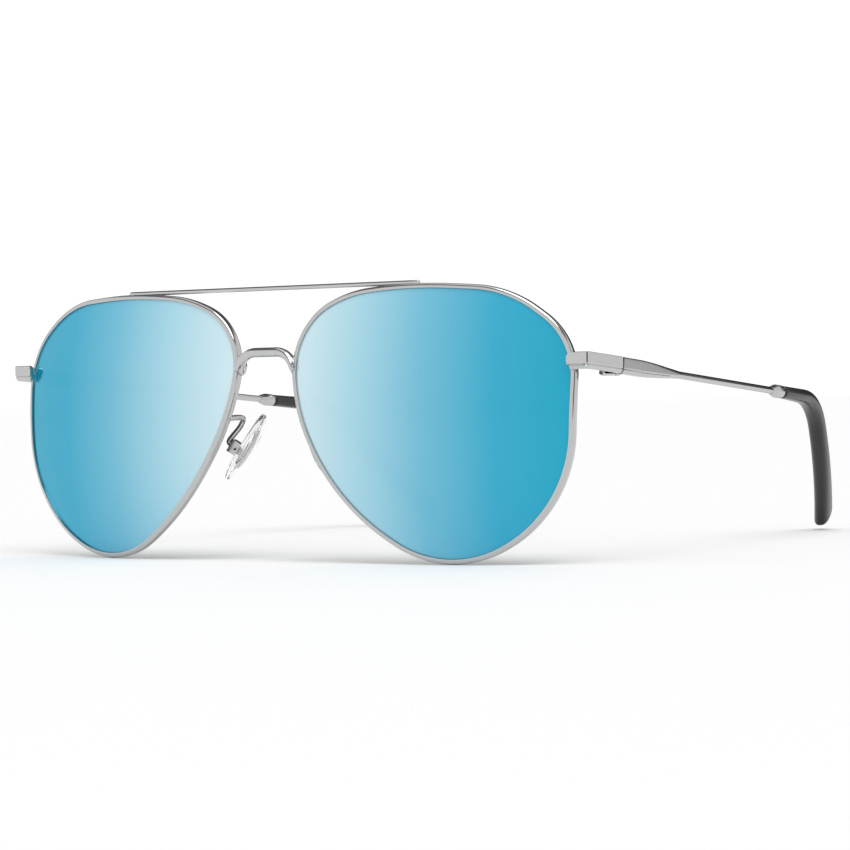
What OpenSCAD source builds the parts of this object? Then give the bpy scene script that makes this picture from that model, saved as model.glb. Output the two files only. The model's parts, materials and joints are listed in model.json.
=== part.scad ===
// Aviator sunglasses. Millimetres, +Z up, +X towards the wearer's left, the front faces -Y.
// The glasses stand open on a flat surface, on the bottoms of both rims and both temple tips.

/* [Front] */
// Width of the visible lens opening
lens_w = 57.5; // [50:0.5:62]
// Height of the visible lens opening
lens_h = 50.9; // [42:0.1:55]
// Gap between the two lens openings at their closest
bridge_gap = 14.9; // [13:0.1:19]
// Radius of the ball that the lenses curve around
base_r = 88.3; // [70:0.1:140]
// Turn of each lens back towards the ear, in degrees
wrap = 7.05; // [0:0.05:10]

/* [Rims and lenses] */
// Radial width of the rim from the opening to its outside
rim_w = 0.95; // [0.8:0.05:1.6]
// How far the rim stands in front of the lens
rim_front = 0.4; // [0.2:0.05:0.6]
// How far the rim reaches behind the lens front
rim_back = 1.25; // [1.15:0.05:2]
// Lens thickness
lens_t = 1; // [0.8:0.1:1.2]
// Depth of the groove that holds the lens edge
groove_d = 0.35; // [0.25:0.05:0.45]
// Thickness of the thin edge of the lens
lens_edge_t = 0.5; // [0.4:0.05:0.7]
// Clearance between a lens and its rim
lens_play = 0.03; // [0.02:0.01:0.08]
// Saw cut where the rim closes
rim_cut = 0.2; // [0.1:0.05:0.4]

/* [Brow bar and bridge] */
// Length of the brow bar
bar_len = 69.6; // [60:0.1:84]
// Diameter of the brow bar
bar_d = 0.9; // [0.7:0.05:1.4]
// Diameter of the bridge
bridge_d = 1.9; // [1.4:0.1:2.2]
// Straight stretch at the top of the bridge
bridge_flat = 5; // [3:0.5:7]
// Radius of the bends of the bridge
bridge_bend = 4.3; // [3.5:0.1:6]
// Height of the bridge's middle line above the lens centres
bridge_z = 14.1; // [9:0.1:16]
// Width of the bridge's flat feet
foot_d = 3.4; // [2.4:0.1:4.5]

/* [End pieces and hinges] */
// Height of the end pieces above the lens centres
end_z = 11.2; // [7:0.1:13]
// Height of the end-piece bar
end_h = 3.2; // [2.6:0.1:4]
// Thickness of the end-piece bar
end_t = 1.2; // [1:0.05:1.6]
// How far the end piece reaches out past the rim
end_out = 3.6; // [3.2:0.1:6]
// How far the end piece lies over the rim's front
end_lap = 0.1; // [0:0.05:1]
// Distance from the front of the end piece to the hinge
hinge_back = 13.3; // [10:0.1:18]
// Outside radius of the hinge knuckles
knuckle_r = 1.1; // [1:0.05:1.3]
// Radius of the hinge screw's shank
screw_r = 0.5; // [0.4:0.05:0.6]
// Radial clearance of a screw in a turning hole
run_fit = 0.05; // [0.02:0.01:0.1]
// Gap between neighbouring knuckles
knuckle_gap = 0.08; // [0.04:0.01:0.15]
// How far the hinge reaches below the end piece
hinge_drop = 0.3; // [0:0.1:1]

/* [Temples] */
// Distance from the hinge to the middle of the ferrule
temple_run = 71; // [62:0.5:84]
// Height of the flat blade at the hinge
blade_h = 3.2; // [2.8:0.1:3.6]
// Length of the flat blade up to its thin end
blade_len = 25; // [18:0.5:30]
// Thickness of the blade
blade_t = 1.5; // [1.2:0.05:1.6]
// Diameter of the temple's round bar
wire_d = 1.5; // [1.3:0.05:1.8]
// Slope of the temples down towards the ears, in degrees
slope = 4.1; // [2:0.1:8]
// Turn of the temples in towards the head, in degrees
toe = 2.3; // [0:0.1:5]
// Length of the ferrule
ferrule_len = 4.6; // [3:0.1:6]
// Outside diameter of the ferrule
ferrule_d = 2.8; // [2.4:0.1:3.2]

/* [Temple tips] */
// Straight stretch of the tip before its bend
tip_straight = 13.5; // [8:0.5:20]
// Radius of the tip's bend
tip_bend_r = 22; // [16:1:30]
// Angle of the tip's bend
tip_bend = 41; // [30:1:50]
// Straight stretch of the tip after its bend
tip_drop = 30; // [22:1:36]
// How far the tip's end comes in towards the head
tip_in = 11; // [4:0.5:14]
// Height of the tip at the ferrule
tip_h0 = 2.6; // [2.4:0.1:3.2]
// Width of the tip near its end
tip_h1 = 6; // [4:0.1:6.6]
// Thickness of the tip
tip_t = 3.3; // [2.6:0.1:3.8]
// Diameter of the metal core inside the tip
core_d = 1.2; // [0.9:0.05:1.3]
// How far the core stops short of the tip's end
core_short = 9; // [6:1:20]

/* [Nose pads] */
// Length of a nose pad
pad_len = 15; // [11:0.5:17]
// Width of a nose pad
pad_w = 6.8; // [6:0.1:9]
// Thickness of a nose pad
pad_t = 1.8; // [1.6:0.1:2.4]
// Diameter of the pad arm's wire
arm_d = 1.1; // [0.8:0.05:1.3]
// Turn of the pads about the vertical, in degrees
pad_splay = 21; // [15:1:40]
// Lean of the pads' tops towards each other, in degrees
pad_lean = 32; // [20:1:36]

/* [Hidden] */
$fn = 48;
far = 60;        // longer than anything that a cut goes through
seat = 0.02;     // gap left between soldered pieces

// Corners of the lens outline for a 57.5 by 50.9 opening: outward, up, corner radius.
OUTLINE = [[28.2, -9, 24.4], [29.1, 15, 14.2], [16.3, 24.5, 22.9], [-3.7, 25.8, 106], [-16.6, 24.5, 27.4],
    [-30.2, 18.7, 13], [-27.7, 2.3, 35.4], [-18.3, -15.2, 48.4], [4.3, -29, 21.3], [20.9, -19.6, 25]];
scale_w = lens_w / 57.5;
scale_h = lens_h / 50.9;
CORNERS = [for (c = OUTLINE) [c[0] * scale_w, c[1] * scale_h]];
// The radii shrink a little faster than the outline, so that neighbouring arcs never meet.
scale_r = pow(min(scale_w, scale_h), 2) / max(scale_w, scale_h);
RADII = [for (c = OUTLINE) c[2] * scale_r];

function unit(v) = v / norm(v);
// Middle, start angle and sweep of the arc that rounds corner i.
function corner(i) =
    let(n = len(CORNERS), p = CORNERS[i])
    let(a = unit(CORNERS[(i + n - 1) % n] - p), b = unit(CORNERS[(i + 1) % n] - p))
    let(half = acos(a * b) / 2, m = p + unit(a + b) * RADII[i] / sin(half))
    let(t = p + a * RADII[i] / tan(half) - m)
    [m, atan2(t[1], t[0]), 180 - 2 * half];
// The outline, moved outwards by grow.
function outline(grow) = [for (i = [0 : len(CORNERS) - 1])
    let(c = corner(i), n = max(3, ceil(c[2] / 5)))
    for (k = [0 : n]) c[0] + (RADII[i] + grow) * [cos(c[1] + c[2] * k / n), sin(c[1] + c[2] * k / n)]];
// How far back the lens surface is at a point of the lens, and that point in the front's frame.
function sag(u, v) = base_r - sqrt(base_r * base_r - u * u - v * v);
function on_front(u, v, back) = let(s = sag(u, v) + back)
    [lens_cx + u * cos(wrap) - s * sin(wrap), u * sin(wrap) + s * cos(wrap), v];

nose_u = -28.8 * scale_w;
nose_v = 10.3 * scale_h;
temple_u = 28.6 * scale_w;
lens_cx = bridge_gap / 2 - nose_u * cos(wrap) + sag(nose_u, nose_v) * sin(wrap);
rim_low = -25.45 * scale_h - rim_w;
rim_high = 25.45 * scale_h + rim_w;

end_edge = on_front(temple_u, end_z, -rim_front);        // rim's front edge behind the end piece
end_x = end_edge[0] + rim_w + end_out;                   // outside of the end piece
end_y = end_edge[1] - end_t - seat;                      // front of the end piece
hinge_y = end_y + hinge_back;
knuckle_sunk = 0.35;                                     // how far a knuckle is let into the bar
hinge_x = end_x - end_t - knuckle_r + knuckle_sunk;
hinge_slope = hinge_back * tan(slope);
hinge_z = end_z - hinge_slope;                           // middle of the end piece at the hinge
hinge_top = hinge_z + end_h / 2;
hinge_low = hinge_z - end_h / 2 - hinge_drop;
knuckle_h = (hinge_top - hinge_low - 2 * knuckle_gap) / 3;
head_h = 0.45;

tip_len = tip_straight + tip_bend_r * tip_bend * PI / 180 + tip_drop;
tip_start = temple_run + ferrule_len / 2;
blade_x = hinge_x + knuckle_r - knuckle_sunk + end_t / 2;        // middle of the blade at the hinge

// Middle line of the tip in the temple's frame: in, back, up.
function tip_turn(s) = min(max((s - tip_straight) / tip_bend_r * 180 / PI, 0), tip_bend);
function tip_back(s) = s <= tip_straight ? s
    : s <= tip_len - tip_drop ? tip_straight + tip_bend_r * sin(tip_turn(s))
    : tip_straight + tip_bend_r * sin(tip_bend) + (s - tip_len + tip_drop) * cos(tip_bend);
function tip_up(s) = s <= tip_straight ? 0
    : s <= tip_len - tip_drop ? -tip_bend_r * (1 - cos(tip_turn(s)))
    : -tip_bend_r * (1 - cos(tip_bend)) - (s - tip_len + tip_drop) * sin(tip_bend);
function tip_at(s) = [-tip_in * pow(max(0, s) / tip_len, 1.7), tip_start + tip_back(s), tip_up(s)];

// The glasses lean a little so that the rims and the temple tips touch one flat surface.
tip_end = tip_at(tip_len);
foot_y = hinge_y + tip_end[1] * cos(slope) + tip_end[2] * sin(slope);
foot_z = hinge_z + tip_end[2] * cos(slope) - tip_end[1] * sin(slope) - tip_h1 * 0.34;
low_y = on_front(-1.5, rim_low, 0)[1];
lean = atan((foot_z - rim_low) / (foot_y - low_y));
stand_z = -rim_low * cos(lean) + low_y * sin(lean);
front_y = on_front(nose_u, nose_v, -rim_front)[1] - 2.6;
stand_y = -(foot_y + front_y) / 2;

module standing() translate([0, stand_y, stand_z]) rotate([-lean, 0, 0]) children();
module sided(s) standing() mirror([s < 0 ? 1 : 0, 0, 0]) children();

module prism(grow) rotate([90, 0, 0]) translate([0, 0, -far / 2]) linear_extrude(far) polygon(outline(grow));
module shell(front, back) translate([0, base_r, 0]) difference() {
    sphere(base_r + front, $fn = 96);
    sphere(base_r - back, $fn = 96);
}
module at_lens() translate([lens_cx, 0, 0]) rotate([0, 0, wrap]) children();
// The space that a rim takes up, with its lens, and a small gap around it.
module rim_space() at_lens() intersection() {
    prism(rim_w + seat);
    shell(rim_front + seat, rim_back + seat);
    half_front();
}
// Room for the hinge's barrel in the pieces that it is let into.
module hinge_clear() translate([hinge_x, hinge_y, hinge_low - 1])
    cylinder(hinge_top - hinge_low + 3, knuckle_r + 0.1, knuckle_r + 0.1);
module half_front() translate([-far / 2, -far / 2, -far / 2]) cube([far, far, far]);
// A solid through a list of rings that all have the same number of points.
module sweep(rings) {
    n = len(rings[0]);
    m = len(rings);
    polyhedron([for (r = rings) for (p = r) p], concat(
        [[for (k = [0 : n - 1]) k]], [[for (k = [n - 1 : -1 : 0]) (m - 1) * n + k]],
        [for (j = [0 : m - 2]) for (k = [0 : n - 1]) [(j + 1) * n + k, (j + 1) * n + (k + 1) % n, j * n + k]],
        [for (j = [0 : m - 2]) for (k = [0 : n - 1])
            [(j + 1) * n + (k + 1) % n, j * n + (k + 1) % n, j * n + k]]));
}
// A smooth curve through points, with steps pieces between neighbours.
function curve(points, steps) = let(m = len(points) - 1) [for (i = [0 : m - 1]) for (k = [0 : steps - 1])
    let(a = points[max(i - 1, 0)], b = points[i], c = points[i + 1], d = points[min(i + 2, m)], q = k / steps)
    (2 * b + (c - a) * q + (2 * a - 5 * b + 4 * c - d) * q * q + (3 * b - a - 3 * c + d) * q * q * q) / 2];
// A round wire along a list of points; side is a direction that the wire never runs along.
module wire(points, r, side, n = 12) sweep([for (i = [0 : len(points) - 1])
    let(t = unit(points[min(i + 1, len(points) - 1)] - points[max(i - 1, 0)]))
    let(a = unit(cross(side, t)), b = cross(t, a))
    [for (k = [0 : n - 1]) points[i] + r * (cos(k * 360 / n) * a + sin(k * 360 / n) * b)]]);

module rim(s) color("silver") sided(s) difference() {
    at_lens() difference() {
        intersection() {
            prism(rim_w);
            shell(rim_front, rim_back);
            half_front();
        }
        prism(0);
        intersection() {
            prism(groove_d);
            shell(-(lens_t - lens_edge_t) / 2 + lens_play, (lens_t + lens_edge_t) / 2 + lens_play);
            half_front();
        }
    }
    translate([end_edge[0] - 2, 0, end_z - rim_cut / 2]) cube([far, far, rim_cut]);
}
module lens(s) color("deepskyblue") sided(s) at_lens() union() {
    intersection() {
        prism(-lens_play);
        shell(0, lens_t);
        half_front();
    }
    intersection() {
        prism(groove_d - lens_play);
        shell(-(lens_t - lens_edge_t) / 2, (lens_t + lens_edge_t) / 2);
        half_front();
    }
}

bar_y = on_front(-4, rim_high, (rim_back - rim_front) / 2)[1];
bar_z = rim_high + 0.15;
module top_bar() color("silver") standing() difference() {
    translate([0, bar_y, bar_z]) rotate([0, 90, 0]) union() {
        cylinder(bar_len - bar_d, bar_d / 2, bar_d / 2, center = true);
        for (end = [-1, 1]) translate([0, 0, end * (bar_len - bar_d) / 2]) sphere(bar_d / 2);
    }
    for (m = [0, 1]) mirror([m, 0, 0]) rim_space();
}

bridge_y = on_front(nose_u, nose_v, 0.45)[1];
bridge_turn = 66;
bridge_arc = bridge_bend * bridge_turn * PI / 180;
bridge_leg = 1.4;                                        // straight stretch down each rim
bridge_half = bridge_flat / 2 + bridge_arc + bridge_leg;
// Middle line and turn of the bridge's left half, a length q from the middle.
function bridge_angle(q) = min(max((q - bridge_flat / 2) / bridge_bend * 180 / PI, 0), bridge_turn);
function bridge_at(q) = let(a = bridge_angle(q), leg = max(0, q - bridge_flat / 2 - bridge_arc))
    [min(q, bridge_flat / 2) + bridge_bend * sin(a) + leg * cos(a),
        bridge_z - bridge_bend * (1 - cos(a)) - leg * sin(a)];
// The bridge is round in the middle and flattens into an oval foot against each rim.
function foot_mix(q) = pow(min(max((q - bridge_flat / 2) / (bridge_half - bridge_flat / 2), 0), 1), 2);
function foot_round(q) = sqrt(max(0.03, 1 - pow(max(0, 1 - (bridge_half - q) / 1.2), 2)));
module bridge() color("silver") standing() difference() {
    sweep([for (i = [-26 : 26])
        let(q = bridge_half * abs(i) / 26, side = i < 0 ? -1 : 1, p = bridge_at(q), a = side * bridge_angle(q))
        let(wide = bridge_d + (foot_d - bridge_d) * foot_mix(q), thin = bridge_d - 0.5 * foot_mix(q))
        [for (k = [0 : 19]) let(c = cos(k * 18) * wide / 2, v = sin(k * 18) * thin / 2)
            [side * p[0], bridge_y, p[1]] + foot_round(q) * [v * sin(a), c, v * cos(a)]]]);
    for (m = [0, 1]) mirror([m, 0, 0]) at_lens() prism(rim_w + seat);
}

// Plan of the end piece, and its side arm sloping down to the hinge.
module end_piece(s) color("silver") sided(s) difference() {
    union() {
        translate([end_edge[0] - end_lap, end_y, end_z - end_h / 2])
            cube([end_x - end_edge[0] + end_lap - end_t, end_t, end_h]);
        translate([end_x - end_t, end_y + end_t, end_z - end_h / 2]) intersection() {
            cylinder(end_h, end_t, end_t);
            translate([0, -end_t, 0]) cube([end_t, end_t, end_h]);
        }
        translate([end_x, end_y + end_t, end_z]) rotate([90, 0, -90]) linear_extrude(end_t)
            polygon([[0, -end_h / 2], [-(hinge_back - end_t - 0.05), -end_h / 2 - hinge_slope],
                [-(hinge_back - end_t - 0.05), end_h / 2 - hinge_slope], [0, end_h / 2]]);
    }
    // bevel along the lower edge of the front and of the side
    translate([end_x - far, end_y, end_z - end_h / 2]) rotate([-30, 0, 0])
        translate([0, -far + 0.5, -far]) cube([2 * far, far, far + 0.9]);
    rim_space();
    hinge_clear();
}

lock_x = end_edge[0] + rim_w + seat;
lock_y = end_y + end_t + seat;
lock_w = end_x - end_t - seat - lock_x;
lock_d = 2.6;
lock_screw_x = lock_x + lock_w / 2;
lock_screw_y = lock_y + lock_d / 2;
module lock_block(low, high, hole) difference() {
    translate([lock_x, lock_y, low]) cube([lock_w, lock_d, high - low]);
    rim_space();
    translate([lock_screw_x, lock_screw_y, low - 1]) cylinder(high - low + 2, hole, hole);
}
lock_low = end_z - end_h / 2 + 0.1;
lock_high = end_z + end_h / 2 - 0.3;
module lock_upper(s) color("silver") sided(s) lock_block(end_z + rim_cut / 2, lock_high, screw_r + seat);
module lock_lower(s) color("silver") sided(s) difference() {
    lock_block(lock_low, end_z - rim_cut / 2, screw_r + run_fit);
    translate([lock_screw_x, lock_screw_y, lock_low - 1]) cylinder(1.3, 0.9, 0.9);
}
module lock_screw(s) color("gainsboro") sided(s) difference() {
    translate([lock_screw_x, lock_screw_y, lock_low]) union() {
        cylinder(0.28, 0.8, 0.8);
        cylinder(lock_high - lock_low - 0.2, screw_r, screw_r);
    }
    translate([lock_screw_x, lock_screw_y, lock_low]) cube([2, 0.25, 0.24], center = true);
}

// A knuckle of the hinge, number i counted from the bottom.
function knuckle_z(i) = hinge_low + i * (knuckle_h + knuckle_gap);
leaf_len = 5.4;   // length of a hinge leaf along the bar it is soldered to
leaf_in = 0.3;    // how far a leaf reaches in past the middle of the knuckles
leaf_gap = 0.25;  // gap between the front hinge's back wall and the temple's knuckle
module knuckle(i) translate([hinge_x, hinge_y, knuckle_z(i)]) cylinder(knuckle_h, knuckle_r, knuckle_r);
module front_hinge(s) color("silver") sided(s) difference() {
    union() {
        for (i = [0, 2]) knuckle(i);
        for (i = [0, 2]) translate([hinge_x - leaf_in, hinge_y - leaf_len, knuckle_z(i)])
            cube([end_x - end_t - seat - hinge_x + leaf_in, leaf_len, knuckle_h]);
        translate([hinge_x - leaf_in, hinge_y - leaf_len, knuckle_z(0)])
            cube([end_x - end_t - seat - hinge_x + leaf_in, leaf_len - knuckle_r - leaf_gap,
                hinge_top - hinge_low]);
    }
    translate([hinge_x, hinge_y, hinge_low - 1]) cylinder(2 * knuckle_h + 1, screw_r + seat, screw_r + seat);
    translate([hinge_x, hinge_y, hinge_top - knuckle_h - 1])
        cylinder(knuckle_h + 2, screw_r + run_fit, screw_r + run_fit);
    translate([hinge_x, hinge_y, hinge_top - head_h]) cylinder(2, 0.95, 0.95);
}
module hinge_screw(s) color("gainsboro") sided(s) difference() {
    translate([hinge_x, hinge_y, hinge_low + 0.1]) union() {
        cylinder(hinge_top - hinge_low - 0.2, screw_r, screw_r);
        translate([0, 0, hinge_top - hinge_low - 0.1 - head_h + seat]) cylinder(head_h - 0.1, 0.85, 0.85);
    }
    translate([hinge_x, hinge_y, hinge_top]) cube([0.25, 2, 0.5], center = true);
}

// The temple's own frame: at the hinge, back along the temple.
module at_temple() translate([blade_x, hinge_y, hinge_z]) rotate([-slope, 0, 0]) rotate([0, 0, toe]) children();
module temple_hinge(s) color("silver") sided(s) difference() {
    union() {
        knuckle(1);
        translate([hinge_x - leaf_in, hinge_y, knuckle_z(1)])
            cube([blade_x - blade_t / 2 - seat - hinge_x + leaf_in, leaf_len, knuckle_h]);
    }
    translate([hinge_x, hinge_y, hinge_low]) cylinder(far, screw_r + run_fit, screw_r + run_fit);
    at_temple() translate([-blade_t / 2 - seat, -1, -far / 2]) cube([far, far, far]);
}

// One ring of a sweep across the tip's middle line: an ellipse for a power of 1, squarer below it.
function bulge(c, power) = sign(c) * pow(abs(c), power);
function ring(s, t, h, n, power = 1) = let(p = tip_at(s), a = tip_turn(s))
    [for (k = [0 : n - 1])
        let(c = bulge(cos(k * 360 / n), power) * t / 2, v = -bulge(sin(k * 360 / n), power) * h / 2)
        p + [c, v * sin(a), v * cos(a)]];
core_len = tip_len - core_short;
module core(d, from, to) sweep([for (s = [from : (to - from) / 24 : to + 0.01]) ring(s, d, d, 12)]);

module temple(s) color("silver") sided(s) difference() {
    at_temple() bar();
    hinge_clear();
}
module bar() union() {
    translate([-blade_t / 2, 0, 0]) rotate([90, 0, 90]) linear_extrude(blade_t)
        polygon([[0.1, -blade_h / 2], [blade_len * 0.32, -blade_h / 2], [blade_len * 0.64, -blade_h * 0.4],
            [blade_len, -wire_d / 2], [blade_len + 1, -wire_d / 2], [blade_len + 1, wire_d / 2],
            [blade_len, wire_d / 2], [blade_len * 0.64, blade_h * 0.4], [blade_len * 0.32, blade_h / 2],
            [0.1, blade_h / 2]]);
    translate([0, blade_len, 0]) rotate([-90, 0, 0])
        cylinder(tip_start - blade_len - 1, wire_d / 2, wire_d / 2);
    core(core_d, -1.4, core_len);
}
module ferrule(s) color("gainsboro") sided(s) at_temple() translate([0, tip_start - ferrule_len, 0])
    rotate([-90, 0, 0]) difference() {
        union() {
            cylinder(ferrule_len * 0.45, wire_d / 2 + 0.25, ferrule_d / 2);
            translate([0, 0, ferrule_len * 0.45]) cylinder(ferrule_len * 0.55, ferrule_d / 2, ferrule_d / 2);
        }
        translate([0, 0, -1]) cylinder(ferrule_len + 2, wire_d / 2 + seat, wire_d / 2 + seat);
    }
// Height of the tip along its length, with a rounded end.
function tip_round(s) = sqrt(max(0.02, 1 - pow(max(0, 1 - (tip_len - s) / 2.6), 2)));
function tip_h(s) = tip_h0 + (tip_h1 - tip_h0) * pow(s / tip_len, 1.6);
TIP_STEPS = concat([for (s = [0 : tip_len / 26 : tip_len - 2.7]) s + seat],
    [for (k = [0 : 6]) tip_len - 2.6 * (1 - sin(k * 15))]);
module temple_tip(s) color("dimgray") sided(s) at_temple() difference() {
    sweep([for (q = TIP_STEPS) ring(q, tip_t * tip_round(q), tip_h(q) * tip_round(q), 20, 0.75)]);
    core(core_d + 0.2, -0.5, core_len + 0.6);
}

// The nose pad's own frame: at its pivot, X towards the nose, Z up along the pad.
pad_pivot = [11.5 + (bridge_gap - 14.9) / 2, 7.7, -4.6];
module at_pad() translate(pad_pivot) rotate([0, 0, 180 - pad_splay]) rotate([0, pad_lean, 0]) children();
box_w = 2.4;
box_h = 2.6;
box_back = -1.3;
box_front = 0.6;
tab_w = 0.9;
tab_r = 0.75;
pad_screw_r = 0.35;
// The arm's wire, from the rim back to its bend and down to the back of the box.
arm_root = on_front(-26.2 * scale_w - rim_w, 1.2, 0.4);
arm_end = pad_pivot + [cos(pad_splay) * cos(pad_lean), -sin(pad_splay) * cos(pad_lean), 0.45];
ARM = [arm_root, [pad_pivot[0] - 2.2, pad_pivot[1] - 2.6, 1.5], [pad_pivot[0] - 2.2, pad_pivot[1] - 0.6, 1.2],
    [pad_pivot[0] - 1.1, pad_pivot[1] - 0.2, -0.4], [pad_pivot[0] + 0.4, pad_pivot[1] - 0.7, -2.2],
    arm_end + [0.55, -0.3, 0.9], arm_end];
module pad_box_solid() translate([box_back, -box_w / 2, -box_h / 2]) cube([box_front - box_back, box_w, box_h]);
module pad_arm(s) color("silver") sided(s) difference() {
    wire(curve(ARM, 5), arm_d / 2, [0.9, 0.3, 0.35]);
    at_lens() rotate([90, 0, 0]) translate([0, 0, -6]) linear_extrude(far) polygon(outline(rim_w + seat));
    at_pad() pad_box_solid();
}
module pad_box(s) color("silver") sided(s) at_pad() difference() {
    pad_box_solid();
    translate([-0.95, -tab_w / 2 - 0.1, -box_h / 2 - 1]) cube([far, tab_w + 0.2, box_h + 2]);
    rotate([90, 0, 0]) cylinder(far, pad_screw_r + seat, pad_screw_r + seat, center = true);
    translate([0, -box_w / 2 - 1, 0]) rotate([-90, 0, 0]) cylinder(1.3, 0.65, 0.65);
}
module pad_screw(s) color("gainsboro") sided(s) at_pad() difference() {
    translate([0, -box_w / 2, 0]) rotate([-90, 0, 0]) union() {
        cylinder(0.28, 0.6, 0.6);
        cylinder(box_w - 0.1, pad_screw_r, pad_screw_r);
    }
    translate([0, -box_w / 2, 0]) cube([0.2, 0.3, 2], center = true);
}
pad_up = 1.2;      // how far the middle of the pad sits above its pivot
pad_dome_r = 20;   // radius of the pad's rounded face
pad_back = box_front + 0.4;
plate_x = pad_back + 0.55;
plate_t = 0.35;
function oval(w, l, n = 40) = [for (k = [0 : n - 1]) let(a = k * 360 / n)
    [w / 2 * cos(a) * (1 - 0.12 * sin(a)), l / 2 * sin(a)]];
module oval_plate(w, l, t) rotate([90, 0, 90]) linear_extrude(t) polygon(oval(w, l));
module insert(grow) {
    translate([plate_x - grow, 0, pad_up])
        oval_plate(pad_w * 0.5 + 2 * grow, pad_len * 0.6 + 2 * grow, plate_t + 2 * grow);
    translate([0, -tab_w / 2 - grow, -tab_r - grow])
        cube([plate_x + plate_t / 2, tab_w + 2 * grow, 2 * (tab_r + grow)]);
}
module pad_insert(s) color("silver") sided(s) at_pad() difference() {
    union() {
        insert(0);
        rotate([90, 0, 0]) cylinder(tab_w, tab_r, tab_r, center = true);
    }
    rotate([90, 0, 0]) cylinder(far, pad_screw_r + run_fit, pad_screw_r + run_fit, center = true);
}
module nose_pad(s) color("aliceblue") sided(s) at_pad() difference() {
    intersection() {
        translate([pad_back, 0, pad_up]) oval_plate(pad_w, pad_len, pad_t);
        translate([pad_back + pad_t - pad_dome_r, 0, pad_up]) sphere(pad_dome_r, $fn = 200);
    }
    insert(0.03);
}

rim(1);  // rim_left
rim(-1);  // rim_right
lens(1);  // lens_left
lens(-1);  // lens_right
top_bar();
bridge();
end_piece(1);  // end_piece_left
end_piece(-1);  // end_piece_right
lock_upper(1);  // lock_upper_left
lock_upper(-1);  // lock_upper_right
lock_lower(1);  // lock_lower_left
lock_lower(-1);  // lock_lower_right
lock_screw(1);  // lock_screw_left
lock_screw(-1);  // lock_screw_right
front_hinge(1);  // front_hinge_left
front_hinge(-1);  // front_hinge_right
temple_hinge(1);  // temple_hinge_left
temple_hinge(-1);  // temple_hinge_right
hinge_screw(1);  // hinge_screw_left
hinge_screw(-1);  // hinge_screw_right
temple(1);  // temple_left
temple(-1);  // temple_right
ferrule(1);  // ferrule_left
ferrule(-1);  // ferrule_right
temple_tip(1);  // temple_tip_left
temple_tip(-1);  // temple_tip_right
pad_arm(1);  // pad_arm_left
pad_arm(-1);  // pad_arm_right
pad_box(1);  // pad_box_left
pad_box(-1);  // pad_box_right
pad_screw(1);  // pad_screw_left
pad_screw(-1);  // pad_screw_right
pad_insert(1);  // pad_insert_left
pad_insert(-1);  // pad_insert_right
nose_pad(1);  // nose_pad_left
nose_pad(-1);  // nose_pad_right
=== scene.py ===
# %% [markdown]
# # Metal aviator sunglasses
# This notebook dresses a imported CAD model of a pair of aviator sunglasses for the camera. The CAD frame
# fixes every size and every hinge. Here each piece is made again with finer, rounder faces where the
# eye can see the difference, and every piece gets a finish. All sizes are written in millimetres in the
# front's own frame (X to the wearer's left, Y back to the ears, Z up) and turned to metres at the end.

# %% Load the frame
import json
import math

import bmesh
import bpy
import numpy as np
from mathutils import Matrix, Vector


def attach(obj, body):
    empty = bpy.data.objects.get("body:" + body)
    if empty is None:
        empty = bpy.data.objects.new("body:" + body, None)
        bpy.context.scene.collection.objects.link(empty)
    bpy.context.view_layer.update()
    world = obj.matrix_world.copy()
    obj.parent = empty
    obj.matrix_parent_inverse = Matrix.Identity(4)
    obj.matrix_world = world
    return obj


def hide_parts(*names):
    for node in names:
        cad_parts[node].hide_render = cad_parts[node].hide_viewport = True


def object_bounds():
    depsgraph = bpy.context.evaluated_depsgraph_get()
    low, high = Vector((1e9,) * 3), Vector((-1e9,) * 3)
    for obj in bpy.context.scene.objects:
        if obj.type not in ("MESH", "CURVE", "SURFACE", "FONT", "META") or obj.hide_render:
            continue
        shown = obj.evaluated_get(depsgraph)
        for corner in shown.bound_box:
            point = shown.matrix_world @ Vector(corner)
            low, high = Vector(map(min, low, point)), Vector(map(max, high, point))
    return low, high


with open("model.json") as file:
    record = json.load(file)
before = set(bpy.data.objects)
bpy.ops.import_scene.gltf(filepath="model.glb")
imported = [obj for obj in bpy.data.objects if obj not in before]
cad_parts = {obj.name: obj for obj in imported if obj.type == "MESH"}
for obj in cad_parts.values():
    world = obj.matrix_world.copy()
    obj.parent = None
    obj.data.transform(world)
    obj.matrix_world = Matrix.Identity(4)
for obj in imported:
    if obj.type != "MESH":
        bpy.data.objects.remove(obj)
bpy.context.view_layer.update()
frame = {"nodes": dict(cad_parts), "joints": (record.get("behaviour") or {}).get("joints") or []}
scene = bpy.context.scene

# %% [markdown]
# The glasses stand open on the rims and the temple tips, so the front leans a fraction of a degree. The
# fold joint of the left temple tells both things that are needed: its axis gives the lean, and its place
# says where the front's own origin went. One matrix then carries front millimetres to metres in the row.

# %% Where the front stands
MM = 0.001
HINGE = Vector((67.0593, 20.6658, 10.2466))     # the hinge's middle in the front's own frame
fold = next(j for j in frame["joints"] if j["name"] == "temple_left_fold")
lean = math.atan2(fold["axis"][1], fold["axis"][2])
TURN = Matrix.Rotation(-lean, 4, "X")
STAND = Matrix.Translation(Vector(fold["pos_m"]) - TURN @ (HINGE * MM)) @ TURN @ Matrix.Scale(MM, 4)
print("lean", round(math.degrees(lean), 3), "origin", tuple(round(c, 4) for c in STAND.translation))

# %% [markdown]
# The camera looks from the wearer's left front, almost level with the lenses, through a long lens. A
# long lens keeps the far lens nearly as tall as the near one. The camera turns about a point between
# the lenses, and its three directions are worked out in the front's frame before they are stood up.

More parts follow.
